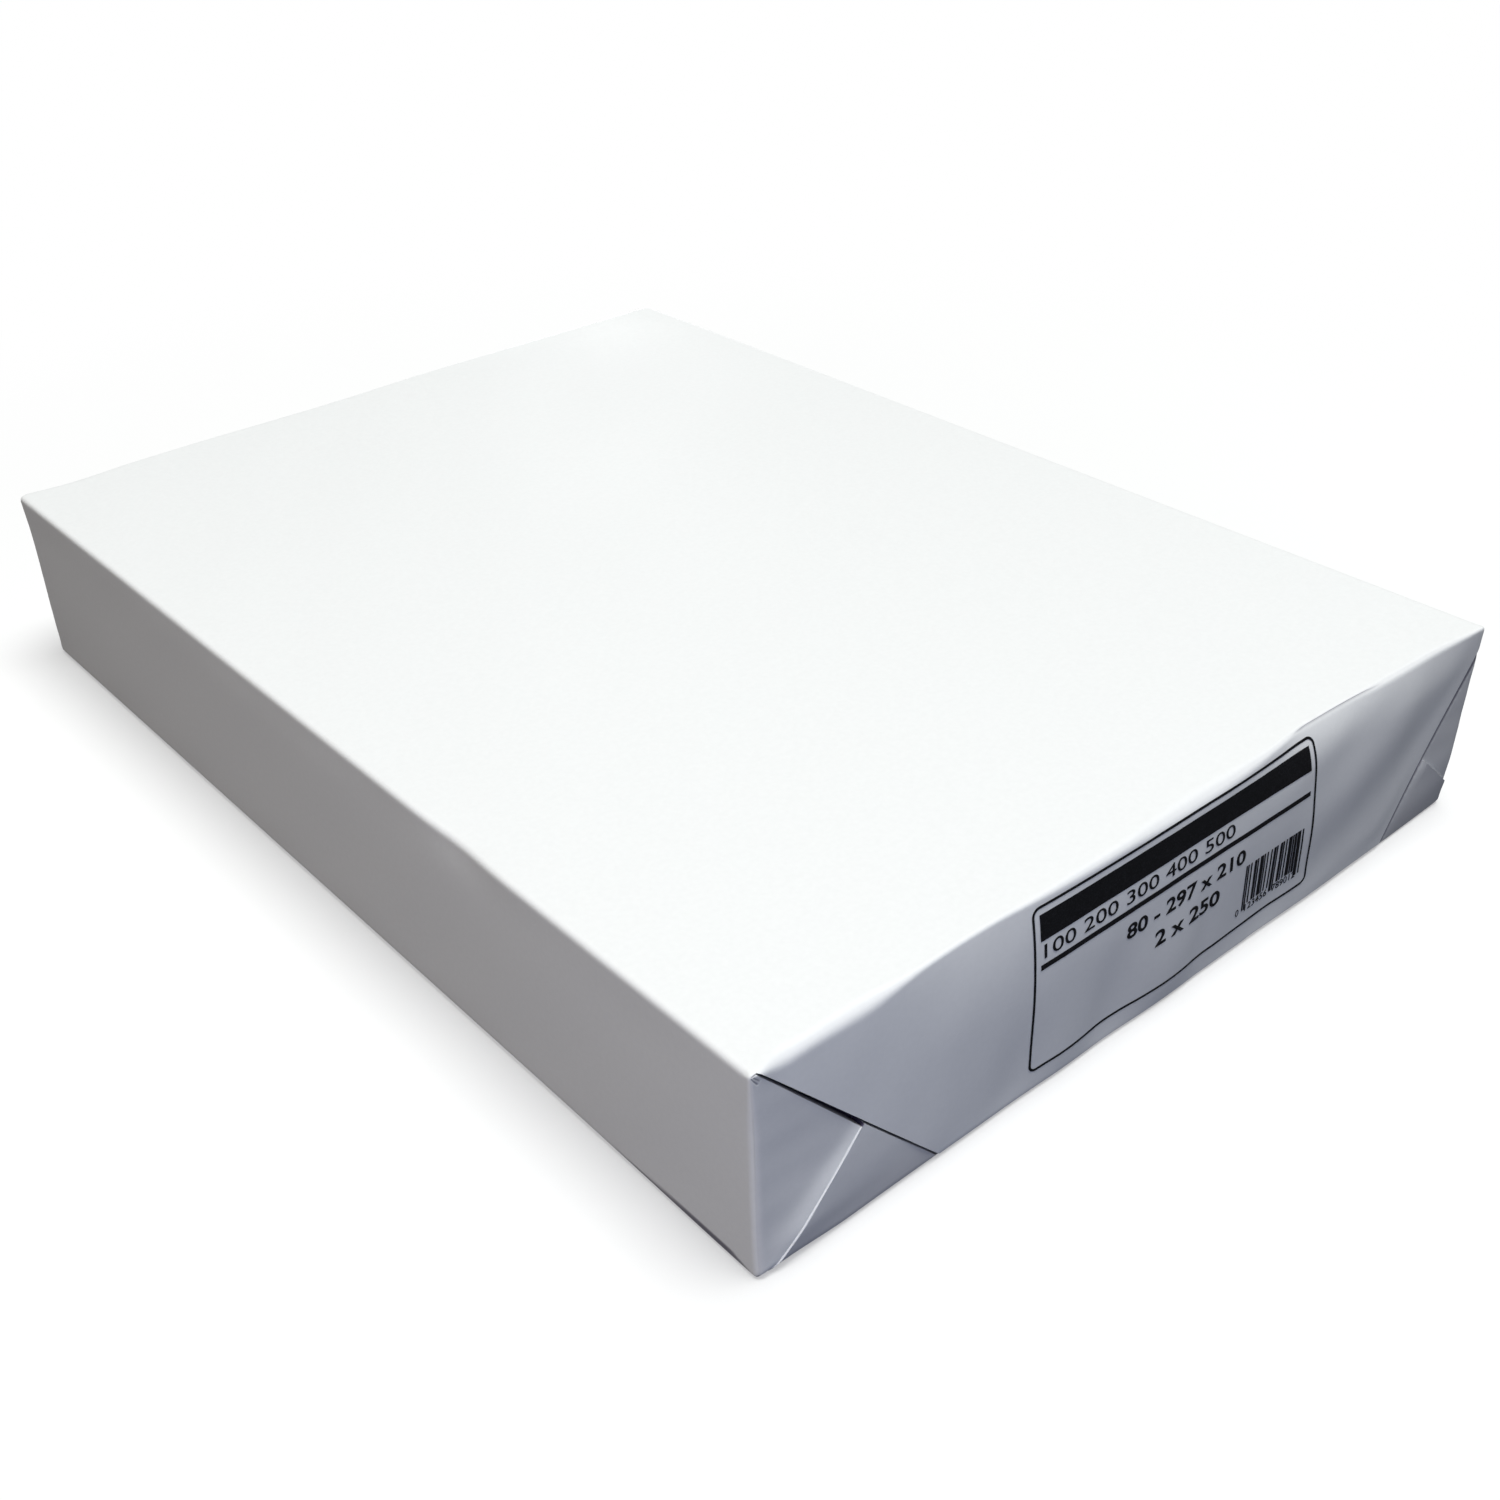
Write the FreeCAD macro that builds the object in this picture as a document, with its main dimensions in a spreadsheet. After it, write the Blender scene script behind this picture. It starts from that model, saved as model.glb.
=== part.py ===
import FreeCAD, Part
import Sketcher
import os

# A sealed ream of office paper lying flat in its plain white wrapper, in millimetres.
# Origin: middle of the underside. X runs across the printed end, Y along the ream with the
# printed end facing -Y, Z up. The wrapper is one sheet drawn round the stack, glued along the
# underside and folded shut at both ends: side tucks first, then the bottom flap, then the top flap.

SIZES = (
    ("stack_width", 210.0, "width of the paper stack"),
    ("stack_length", 297.0, "length of the paper stack"),
    ("stack_height", 46.5, "height of the paper stack"),
    ("wrap_ease", 0.5, "wrapper and slack outside the stack on every side"),
    ("flap_step", 0.6, "how far each folded flap stands out from the layer under it"),
    ("edge_round", 1.5, "radius of the wrapper along the top and bottom edges"),
    ("corner_round", 3.0, "radius of the wrapper at the four upright corners"),
    ("top_flap_reach", 46.5, "length of the top flap down the end"),
    ("top_left_slant", 43.3, "degrees from upright of the top flap's left fold"),
    ("top_right_slant", 34.0, "degrees from upright of the top flap's right fold"),
    ("top_right_drop", 4.6, "height below the top where the right fold leaves the side"),
    ("bottom_flap_reach", 36.0, "length of the bottom flap up the end"),
    ("bottom_left_slant", 47.0, "degrees from upright of the bottom flap's left fold"),
    ("bottom_right_slant", 37.0, "degrees from upright of the bottom flap's right fold"),
    ("label_width", 86.2, "width of the printed frame line"),
    ("label_height", 39.8, "height of the printed frame line"),
    ("label_drop", 1.9, "frame line below the top of the end"),
    ("label_shift", 3.9, "middle of the print from the middle of the end"),
    ("label_round", 2.0, "corner radius of the frame line"),
    ("line_width", 0.45, "thickness of the frame line"),
    ("print_margin", 1.9, "clear paper between the frame line and what it holds"),
    ("header_height", 6.0, "height of the solid header bar"),
    ("rule_drop", 5.8, "clear paper between the header bar and the rule"),
    ("rule_height", 1.2, "thickness of the rule"),
    ("code_width", 20.0, "width of the bar code"),
    ("code_height", 11.0, "height of the bar code"),
    ("code_drop", 24.7, "top of the bar code below the frame line's top"),
    ("ink_build", 0.1, "thickness of the print"),
)

# Expressions for the places that several pieces share.
END_HALF_WIDTH = "Sizes.stack_width / 2 + Sizes.wrap_ease"
TOP = "Sizes.stack_height + 2 * Sizes.wrap_ease"
LABEL_TOP = f"{TOP} - Sizes.label_drop"
HEADER_TOP = f"{LABEL_TOP} - Sizes.print_margin"
RULE_TOP = f"{HEADER_TOP} - Sizes.header_height - Sizes.rule_drop"
CODE_TOP = f"{LABEL_TOP} - Sizes.code_drop"
PRINT_LEFT = "Sizes.label_shift - Sizes.label_width / 2 + Sizes.print_margin"
PRINT_WIDTH = "Sizes.label_width - 2 * Sizes.print_margin"

# Bars and gaps of the made-up code in turn, each digit a width in equal steps.
CODE_RUNS = "1112132112311213122113211212311121321"

# Layers at each end: none for the tucked block, then the bottom flap, then the top flap.
TUCKED = 0
OVER_BOTTOM_FLAP = 1
OVER_TOP_FLAP = 2

# Where a sketch's corners start out before its dimensions move them.
ROUGH_ACROSS = 30
ROUGH_HEIGHT = 15

LEVEL_TOLERANCE = 0.001


def wrapped_length(layers):
    """Expression for the ream's length over this many flaps at each end."""
    return f"Sizes.stack_length + 2 * Sizes.wrap_ease + 2 * {layers} * Sizes.flap_step"


def add_sizes(doc):
    """The spreadsheet with every driving dimension, one aliased cell each."""
    sheet = doc.addObject("Spreadsheet::Sheet", "Sizes")
    for row, (alias, value, note) in enumerate(SIZES, start=1):
        sheet.set(f"A{row}", note)
        sheet.set(f"B{row}", str(value))
        sheet.setAlias(f"B{row}", alias)
    doc.recompute()
    return sheet


def origin_plane(body, role):
    """The body's own origin plane with this role."""
    return next(feature for feature in body.Origin.OriginFeatures if feature.Role == role)


def attached_sketch(body, name, role):
    """An empty sketch on one of the body's origin planes."""
    sketch = body.newObject("Sketcher::SketchObject", name)
    sketch.AttachmentSupport = [(origin_plane(body, role), "")]
    sketch.MapMode = "FlatFace"
    return sketch


def closed_outline(sketch, points):
    """Straight lines from point to point, closed and joined end to end."""
    count = len(points)
    for index, point in enumerate(points):
        start = FreeCAD.Vector(*point, 0)
        end = FreeCAD.Vector(*points[(index + 1) % count], 0)
        sketch.addGeometry(Part.LineSegment(start, end), False)
    for index in range(count):
        sketch.addConstraint(Sketcher.Constraint("Coincident", index, 2, (index + 1) % count, 1))


def bind(sketch, name, constraint, expression):
    """Add a dimension to the sketch and tie it to the sizes."""
    number = sketch.addConstraint(constraint)
    sketch.renameConstraint(number, name)
    sketch.setExpression(f"Constraints.{name}", expression)


def centred_rectangle(sketch, width, height):
    """A rectangle centred on the sketch's origin, both sides bound."""
    corners = ((-1, -1), (1, -1), (1, 1), (-1, 1))
    closed_outline(sketch, [(x * ROUGH_ACROSS, y * ROUGH_HEIGHT) for x, y in corners])
    for side, direction in enumerate(("Horizontal", "Vertical", "Horizontal", "Vertical")):
        sketch.addConstraint(Sketcher.Constraint(direction, side))
    sketch.addConstraint(Sketcher.Constraint("Symmetric", 0, 1, 1, 2, -1, 1))
    bind(sketch, "width", Sketcher.Constraint("DistanceX", 0, 1, 0, 2, ROUGH_ACROSS), width)
    bind(sketch, "height", Sketcher.Constraint("DistanceY", 1, 1, 1, 2, ROUGH_HEIGHT), height)


def pinned_outline(sketch, corners):
    """A closed outline from corners given as (side, distance from the middle, height)."""
    rough = [
        (side * ROUGH_ACROSS * (1 + index), ROUGH_HEIGHT * index)
        for index, (side, _, _) in enumerate(corners)
    ]
    closed_outline(sketch, rough)
    for index, (side, across, height) in enumerate(corners):
        ends = (index, 1, -1, 1) if side < 0 else (-1, 1, index, 1)
        sideways = Sketcher.Constraint("DistanceX", *ends, ROUGH_ACROSS)
        upward = Sketcher.Constraint("DistanceY", -1, 1, index, 1, ROUGH_HEIGHT)
        bind(sketch, f"across{index}", sideways, across)
        bind(sketch, f"height{index}", upward, height)


def edge_names(feature, wanted):
    """Names of the feature's edges that pass the test."""
    return [f"Edge{number}" for number, edge in enumerate(feature.Shape.Edges, start=1) if wanted(edge)]


def runs_along(edge, direction):
    """True for a straight edge along this direction."""
    step = edge.valueAt(edge.LastParameter) - edge.valueAt(edge.FirstParameter)
    return step.cross(direction).Length < LEVEL_TOLERANCE


def fillet(body, name, base, edges, radius):
    """Round the named edges of the last feature."""
    rounded = body.newObject("PartDesign::Fillet", name)
    rounded.Base = (base, edges)
    rounded.setExpression("Radius", radius)
    body.Tip = rounded
    return rounded


def rounded_block(doc, name, length, bottom_too):
    """The wrapped stack at this length, with its upright corners and then its level edges rounded."""
    body = doc.addObject("PartDesign::Body", name)
    sketch = attached_sketch(body, f"{name}_outline", "XY_Plane")
    centred_rectangle(sketch, f"2 * ({END_HALF_WIDTH})", length)
    pad = body.newObject("PartDesign::Pad", f"{name}_pad")
    pad.Profile = sketch
    pad.setExpression("Length", TOP)
    doc.recompute()
    upright = edge_names(pad, lambda edge: runs_along(edge, FreeCAD.Vector(0, 0, 1)))
    corners = fillet(body, f"{name}_corners", pad, upright, "Sizes.corner_round")
    doc.recompute()
    top = corners.Shape.BoundBox.ZMax
    rims = edge_names(
        corners,
        lambda edge: edge.BoundBox.ZMin > top - LEVEL_TOLERANCE
        or (bottom_too and edge.BoundBox.ZMax < LEVEL_TOLERANCE),
    )
    fillet(body, f"{name}_rims", corners, rims, "Sizes.edge_round")
    return body


def flap_prism(doc, name, corners):
    """The outline of a flap, seen on the end, carried through the whole length."""
    body = doc.addObject("PartDesign::Body", name)
    sketch = attached_sketch(body, f"{name}_outline", "XZ_Plane")
    pinned_outline(sketch, corners)
    pad = body.newObject("PartDesign::Pad", f"{name}_pad")
    pad.Profile = sketch
    pad.SideType = "Symmetric"
    pad.setExpression("Length", f"{wrapped_length(OVER_TOP_FLAP)} + 2 * Sizes.flap_step")
    return body


def boolean(doc, kind, name, base, tool):
    """A Part cut or common of two objects."""
    result = doc.addObject(f"Part::{kind}", name)
    result.Base = base
    result.Tool = tool
    result.Refine = True
    return result


def end_flaps(doc):
    """The bottom flaps and, over them, the top flaps, at both ends at once."""
    top_free = f"{TOP} - Sizes.top_flap_reach"
    top_left = f"{END_HALF_WIDTH} - Sizes.top_flap_reach * tan(Sizes.top_left_slant)"
    right_run = "(Sizes.top_flap_reach - Sizes.top_right_drop) * tan(Sizes.top_right_slant)"
    top_corners = (
        (-1, top_left, top_free),
        (1, f"{END_HALF_WIDTH} - {right_run}", top_free),
        (1, END_HALF_WIDTH, f"{TOP} - Sizes.top_right_drop"),
        (1, END_HALF_WIDTH, TOP),
        (-1, END_HALF_WIDTH, TOP),
    )
    bottom_left = f"{END_HALF_WIDTH} - Sizes.bottom_flap_reach * tan(Sizes.bottom_left_slant)"
    bottom_right = f"{END_HALF_WIDTH} - Sizes.bottom_flap_reach * tan(Sizes.bottom_right_slant)"
    bottom_corners = (
        (-1, END_HALF_WIDTH, "0"),
        (1, END_HALF_WIDTH, "0"),
        (1, bottom_right, "Sizes.bottom_flap_reach"),
        (-1, bottom_left, "Sizes.bottom_flap_reach"),
    )
    bottom_block = rounded_block(doc, "bottom_flap_block", wrapped_length(OVER_BOTTOM_FLAP), True)
    top_block = rounded_block(doc, "top_flap_block", wrapped_length(OVER_TOP_FLAP), False)
    bottom_prism = flap_prism(doc, "bottom_flap_prism", bottom_corners)
    top_prism = flap_prism(doc, "top_flap_prism", top_corners)
    return [
        boolean(doc, "Common", "bottom_flaps", bottom_block, bottom_prism),
        boolean(doc, "Common", "top_flaps", top_block, top_prism),
    ]


def wrapped_ream(doc):
    """The closed pack: the tucked block with the flaps folded over both ends."""
    tucked = rounded_block(doc, "tucked_block", wrapped_length(TUCKED), True)
    closed = doc.addObject("Part::MultiFuse", "wrapped_ream")
    closed.Shapes = [tucked] + end_flaps(doc)
    closed.Refine = True
    return closed


def ink_box(doc, name, left, top, width, height):
    """A solid field of ink on the top flap, from its left side and upper edge."""
    box = doc.addObject("Part::Box", name)
    box.setExpression("Length", width)
    box.setExpression("Width", "Sizes.ink_build")
    box.setExpression("Height", height)
    box.setExpression("Placement.Base.x", left)
    box.setExpression("Placement.Base.y", f"-({wrapped_length(OVER_TOP_FLAP)}) / 2 - Sizes.ink_build")
    box.setExpression("Placement.Base.z", f"{top} - {height}")
    return box


def frame_plate(doc, name, inset):
    """A rounded plate the size of the frame line, drawn in by the inset."""
    body = doc.addObject("PartDesign::Body", name)
    sketch = attached_sketch(body, f"{name}_outline", "XZ_Plane")
    centred_rectangle(sketch, f"Sizes.label_width - 2 * {inset}", f"Sizes.label_height - 2 * {inset}")
    pad = body.newObject("PartDesign::Pad", f"{name}_pad")
    pad.Profile = sketch
    pad.setExpression("Length", "Sizes.ink_build")
    doc.recompute()
    short = edge_names(pad, lambda edge: runs_along(edge, FreeCAD.Vector(0, 1, 0)))
    fillet(body, f"{name}_corners", pad, short, f"Sizes.label_round - {inset}")
    body.setExpression("Placement.Base.x", "Sizes.label_shift")
    body.setExpression("Placement.Base.y", f"-({wrapped_length(OVER_TOP_FLAP)}) / 2")
    body.setExpression("Placement.Base.z", f"{LABEL_TOP} - Sizes.label_height / 2")
    return body


def code_bars(doc):
    """The bars of the made-up code, flush with the right margin."""
    steps = sum(int(run) for run in CODE_RUNS)
    bars = []
    start = 0
    for index, run in enumerate(CODE_RUNS):
        if index % 2 == 0:
            left = f"{PRINT_LEFT} + {PRINT_WIDTH} - Sizes.code_width * {steps - start} / {steps}"
            width = f"Sizes.code_width * {run} / {steps}"
            name = f"code_bar_{index // 2 + 1}"
            bars.append(ink_box(doc, name, left, CODE_TOP, width, "Sizes.code_height"))
        start += int(run)
    return bars


def end_print(doc):
    """All the ink on the top flap, as separate flat fields that lie on the paper."""
    outer = frame_plate(doc, "frame_outer", "0")
    inner = frame_plate(doc, "frame_inner", "Sizes.line_width")
    ring = boolean(doc, "Cut", "frame_line", outer, inner)
    header = ink_box(doc, "header_bar", PRINT_LEFT, HEADER_TOP, PRINT_WIDTH, "Sizes.header_height")
    rule = ink_box(doc, "rule", PRINT_LEFT, RULE_TOP, PRINT_WIDTH, "Sizes.rule_height")
    fields = doc.addObject("Part::Compound", "end_print")
    fields.Links = [ring, header, rule] + code_bars(doc)
    return fields


def check_document(doc, nodes):
    """Stop if any object failed to build, or a sub-part has no valid shape."""
    for thing in doc.Objects:
        if "Invalid" in thing.State or "Error" in thing.State:
            raise RuntimeError(f"{thing.Name} did not build: {thing.State}")
    for node in nodes:
        if node.Shape.isNull() or not node.Shape.isValid():
            raise RuntimeError(f"{node.Label} has no valid shape")


def main():
    doc = FreeCAD.newDocument("ream")
    add_sizes(doc)
    nodes = [wrapped_ream(doc), end_print(doc)]
    for node in nodes:
        node.Label = node.Name
    doc.recompute()
    check_document(doc, nodes)
    os.makedirs("parts", exist_ok=True)
    for node in nodes:
        node.Shape.exportStep(f"parts/{node.Label}.step")
        box = node.Shape.BoundBox
        print(
            f"{node.Label}: {len(node.Shape.Solids)} solids, volume {node.Shape.Volume:.1f}, "
            f"{box.XLength:.2f} x {box.YLength:.2f} x {box.ZLength:.2f} mm"
        )


main()
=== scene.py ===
import math
import bpy
import numpy as np
from mathutils import Matrix, Vector


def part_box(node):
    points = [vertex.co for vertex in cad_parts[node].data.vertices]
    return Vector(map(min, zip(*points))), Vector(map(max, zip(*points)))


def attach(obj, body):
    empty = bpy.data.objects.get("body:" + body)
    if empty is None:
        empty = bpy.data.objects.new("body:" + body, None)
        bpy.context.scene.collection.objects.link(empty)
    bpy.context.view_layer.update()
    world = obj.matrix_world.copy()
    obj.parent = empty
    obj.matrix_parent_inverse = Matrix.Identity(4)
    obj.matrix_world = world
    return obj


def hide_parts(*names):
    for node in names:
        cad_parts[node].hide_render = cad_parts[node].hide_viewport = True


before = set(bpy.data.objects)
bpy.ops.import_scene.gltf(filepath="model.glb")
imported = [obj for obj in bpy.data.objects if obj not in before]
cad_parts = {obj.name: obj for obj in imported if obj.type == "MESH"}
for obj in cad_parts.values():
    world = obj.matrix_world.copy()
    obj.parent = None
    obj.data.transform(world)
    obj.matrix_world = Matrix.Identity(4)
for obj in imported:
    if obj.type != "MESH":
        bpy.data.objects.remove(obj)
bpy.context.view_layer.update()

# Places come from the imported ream. X runs across the printed end, -Y out of it, Z up, in metres.
MM = 0.001
LOW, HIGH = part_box("wrapped_ream")
HALF_WIDTH, HALF_LENGTH, TOP = HIGH[0], HIGH[1], HIGH[2]
LABEL_LOW, LABEL_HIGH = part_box("end_print")
FRONT, BACK = -1, 1
# A point this near a plane counts as lying on it, and a cut this near a mesh point goes through it.
HAIR = 0.01 * MM
CUT_NEAR = 0.001 * MM


def fold_line(x, z, slant, across, upward):
    """A straight fold on an end: a point on it, and the direction across it onto its flap."""
    angle = math.radians(slant)
    return x, z, across * math.cos(angle), upward * math.sin(angle)


# The folds on each end, seen from outside the printed end. Slants are degrees from upright.
TOP_LEFT_FOLD = fold_line(-HALF_WIDTH + 1.7 * MM, TOP, 41.95, 1, 1)
TOP_RIGHT_FOLD = fold_line(HALF_WIDTH, TOP - 3.8 * MM, 32.0, -1, 1)
BOTTOM_LEFT_FOLD = fold_line(-HALF_WIDTH + 2.1 * MM, 0.0, 45.0, 1, -1)
BOTTOM_RIGHT_FOLD = fold_line(HALF_WIDTH, 5.5 * MM, 48.0, -1, -1)
# The left gap beside the top flap widens as it goes down, and its far side is this line.
GAP_LIP = fold_line(-HALF_WIDTH + 1.2 * MM, TOP, 40.75, 1, 1)
# How far up the bottom flap reaches, and how high the top flap's free edge lies.
BOTTOM_FLAP_REACH = 36.0 * MM
FREE_EDGE = 1.0 * MM
# How far the paper under the top flap lies back, and how deep the left tuck lies.
FLAP_STEP = 0.6 * MM
TUCK_DEPTH = 0.45 * MM
# The width on the mesh of a step from one layer of paper to the next.
WALL = 0.08 * MM
# The left gap: its depth, its width beside the bottom flap, and the width of its sloped lip.
GAP_DEPTH = 2.6 * MM
GAP_THIN = 0.35 * MM
LIP_WIDTH = 0.15 * MM
# The right gap, shallow, with a softer lip.
RIGHT_GAP = 1.2 * MM
RIGHT_GAP_DEPTH = 0.15 * MM
RIGHT_LIP = 0.55 * MM
# The bead along the bottom flap's left fold: its height and its width.
RIDGE_BEAD = 0.2 * MM
RIDGE_EDGE = 0.2 * MM
# The glued seam on the underside: its place across, and the thickness of paper it steps by.
SEAM_AT = 30.0 * MM
SEAM_STEP = 0.15 * MM

# Along the top edge of the printed end, from its left corner: radius of the roll, and how far
# the edge is set back from the flap's plane. The far end's follows. All in millimetres.
FRONT_ROLL = (
    (0, 0.5, 0.0), (3, 1.1, 0.2), (7, 2.4, 0.5), (12, 2.2, 0.5), (20, 2.4, 0.5), (27, 2.3, 0.5),
    (33, 1.3, 0.6), (39, 0.7, 0.9), (48, 0.6, 1.2), (58, 0.6, 1.1), (68, 0.9, 0.5), (82, 1.5, 0.1),
    (94, 1.8, 0.0),
    (102, 2.6, 0.0), (116, 3.0, 0.1), (129, 1.8, 0.5), (138, 0.9, 1.2), (146, 0.6, 2.1),
    (155, 0.5, 2.1), (164, 0.6, 1.8), (174, 1.1, 1.1), (188, 1.2, 0.7), (200, 1.0, 0.5), (211, 0.5, 0.1),
)
BACK_ROLL = (
    (0, 1.8, 0.0), (14, 3.6, 0.1), (30, 2.0, 0.5), (52, 1.3, 0.8), (70, 2.8, 0.1), (96, 3.4, 0.0),
    (120, 1.6, 0.6), (150, 1.1, 1.1), (172, 2.4, 0.2), (192, 2.6, 0.1), (211, 2.8, 0.0),
)

# Waves in the top flap's lower part, from the left corner: how far it stands out, in millimetres.
FRONT_WAVES = (
    (40, 0.1), (55, -0.2), (64, -0.4), (70, -0.2), (76, 0.1), (82, -0.1), (88, -0.5), (94, -0.3),
    (100, 0.3), (108, 0.6), (113, 0.4), (118, -0.1), (124, -0.2), (131, -0.4), (142, -0.6),
    (150, -0.4), (160, -0.3), (172, -0.2), (186, 0.1), (200, 0.0),
)
BACK_WAVES = (
    (30, 0.0), (44, 0.6), (60, -0.5), (78, 0.4), (90, -0.3), (108, 0.8), (126, 0.0), (140, 0.9),
    (156, -0.4), (170, 0.2),
)
# A sharp crease just under the top edge of the printed end, where the flap is set back most.
CREASE_START, CREASE_END = 143 * MM, 176 * MM
CREASE_DROP = 0.3 * MM
# Tiny creases at the printed end's top left corner, in millimetres: across and down, from and to.
CORNER_CREASES = ((0.3, 0.8, 1.5, 2.5), (0.8, 0.8, 1.9, 2.0), (0.5, 0.4, 1.6, 0.2))


def smooth_step(start, end, value):
    """0 before start, 1 after end, and a smooth rise between them."""
    share = np.clip((value - start) / (end - start), 0.0, 1.0)
    return share * share * (3.0 - 2.0 * share)


def curve_through(points, column, place):
    """A smooth curve through the listed points, read at each place."""
    xs = np.array([point[0] for point in points]) * MM
    ys = np.array([point[column] for point in points]) * MM
    slopes = np.gradient(ys, xs)
    spot = np.clip(place, xs[0], xs[-1])
    index = np.clip(np.searchsorted(xs, spot) - 1, 0, len(xs) - 2)
    width = xs[index + 1] - xs[index]
    share = (spot - xs[index]) / width
    rise = ys[index + 1] - ys[index]
    ease = share * share * (3.0 - 2.0 * share)
    lead = share * (1.0 - share) ** 2 * slopes[index] * width
    tail = share ** 2 * (1.0 - share) * slopes[index + 1] * width
    return ys[index] + rise * ease + lead - tail


def ripple(first, second, seed, lengths):
    """Soft unevenness from -1 to 1: a few crossing waves with fixed, seeded directions."""
    chance = np.random.default_rng(seed)
    total = 0.0
    for length in lengths:
        turn = chance.uniform(0.0, math.tau)
        phase = chance.uniform(0.0, math.tau)
        way = first * math.cos(turn) + second * math.sin(turn)
        total = total + np.sin(way * math.tau / length + phase)
    return total / len(lengths)


def inside(fold, x, z):
    """Distance from a fold, positive on its flap."""
    return (x - fold[0]) * fold[2] + (z - fold[1]) * fold[3]


def between_top_folds(x, z):
    """Whether a point lies between the top flap's two slanted folds."""
    past_left = inside(TOP_LEFT_FOLD, x, z) > -0.5 * WALL
    past_right = inside(TOP_RIGHT_FOLD, x, z) > -0.5 * WALL
    return past_left & past_right


def corner_ear(x, z, end):
    """How far the paper is drawn out at the printed end's top right corner."""
    near = smooth_step(22 * MM, 0, HALF_WIDTH - x)
    return 1.3 * MM * near * np.clip(z / TOP, 0.0, 1.0) * (end == FRONT)


def top_flap_relief(x, z, end):
    """The top flap's face: set-back edge, pillow, lower waves and soft diagonal bands."""
    across = x + HALF_WIDTH
    drop = TOP - z
    roll = FRONT_ROLL if end == FRONT else BACK_ROLL
    waves = FRONT_WAVES if end == FRONT else BACK_WAVES
    reach = 5.5 * MM + 4.0 * MM * smooth_step(110 * MM, 70 * MM, across)
    set_back = curve_through(roll, 2, across) * np.exp(-drop / reach)
    from_right_fold = inside(TOP_RIGHT_FOLD, x, z)
    on_far_part = smooth_step(122 * MM, 156 * MM, across)
    fullest = (19 - 9 * on_far_part) * MM
    fall = np.clip((drop - fullest) / (TOP - fullest), 0.0, 1.0)
    rise = np.sin(0.5 * math.pi * np.clip(drop / fullest, 0.0, 1.0))
    pillow = (0.9 + 0.3 * on_far_part) * MM * rise - (0.9 + 0.1 * on_far_part) * MM * fall ** 1.5
    pillow = pillow * smooth_step(12 * MM, 60 * MM, across) * smooth_step(0, 26 * MM, from_right_fold)
    pillow = pillow - 0.15 * MM * smooth_step(20 * MM, 0, from_right_fold) + corner_ear(x, z, end)
    lower = curve_through(waves, 1, across) * smooth_step(28 * MM, 9 * MM, z)
    lower = lower * smooth_step(-3 * MM, 7 * MM, z)
    slope = math.radians(24 if end == FRONT else -20)
    way = z * math.cos(slope) - (x - 70 * MM) * math.sin(slope)
    toward_bands = x * -end
    banded = smooth_step(38 * MM, 58 * MM, toward_bands)
    banded = banded * smooth_step(HALF_WIDTH, HALF_WIDTH - 12 * MM, toward_bands)
    bands = 0.22 * MM * np.sin(way * math.tau / (24 * MM) + 0.6) * banded
    bands = bands * smooth_step(0, 10 * MM, drop) * smooth_step(0, 8 * MM, z)
    cockle = 0.07 * MM * ripple(x, z, 11 + end, (13 * MM, 19 * MM, 27 * MM, 41 * MM))
    cockle = cockle * smooth_step(0, 6 * MM, drop) * smooth_step(0, 4 * MM, z)
    return pillow - set_back + (lower + bands + cockle) * smooth_step(0, 7 * MM, from_right_fold)


def low_corner(x, z, end):
    """How far the paper sinks back where it curls under at the printed end's bottom right corner."""
    beyond = np.maximum(0.75 * (x - HALF_WIDTH + 17 * MM) + 8 * MM - z, 0.0)
    curl = np.where(beyond < 12 * MM, 0.5 * beyond ** 2 / (12 * MM), beyond - 6 * MM)
    return -0.068 * curl * (x > 0) * (end == FRONT)


def ridge_height(z):
    """How far the bottom flap's left fold stands out, most at the corner."""
    return 0.6 * MM * smooth_step(24 * MM, 11 * MM, z) * (0.1 + 0.9 * smooth_step(1 * MM, 8 * MM, z))


def bottom_flap_relief(x, z, end):
    """The part of the bottom flap that shows beside the top flap."""
    left = np.maximum(inside(BOTTOM_LEFT_FOLD, x, z), 0.0)
    right = np.maximum(inside(BOTTOM_RIGHT_FOLD, x, z), 0.0)
    base = np.where(x < 0, -0.8 * FLAP_STEP * (0.45 + 0.55 * smooth_step(0, 9 * MM, z)), 0.0)
    lift = (ridge_height(z) + 0.2 * MM - base) * np.exp(-(left / (17 * MM)) ** 1.2) * (x < 0)
    from_flap = smooth_step(0, 4 * MM, -inside(TOP_RIGHT_FOLD, x, z))
    crest = (0.85 * MM * np.exp(-right / (7 * MM)) * from_flap - 0.42 * MM) * (x > 0)
    crest = crest + low_corner(x, z, end)
    cockle = 0.06 * MM * ripple(x, z, 21 + end, (9 * MM, 15 * MM, 22 * MM))
    return base + lift + crest + cockle


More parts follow.
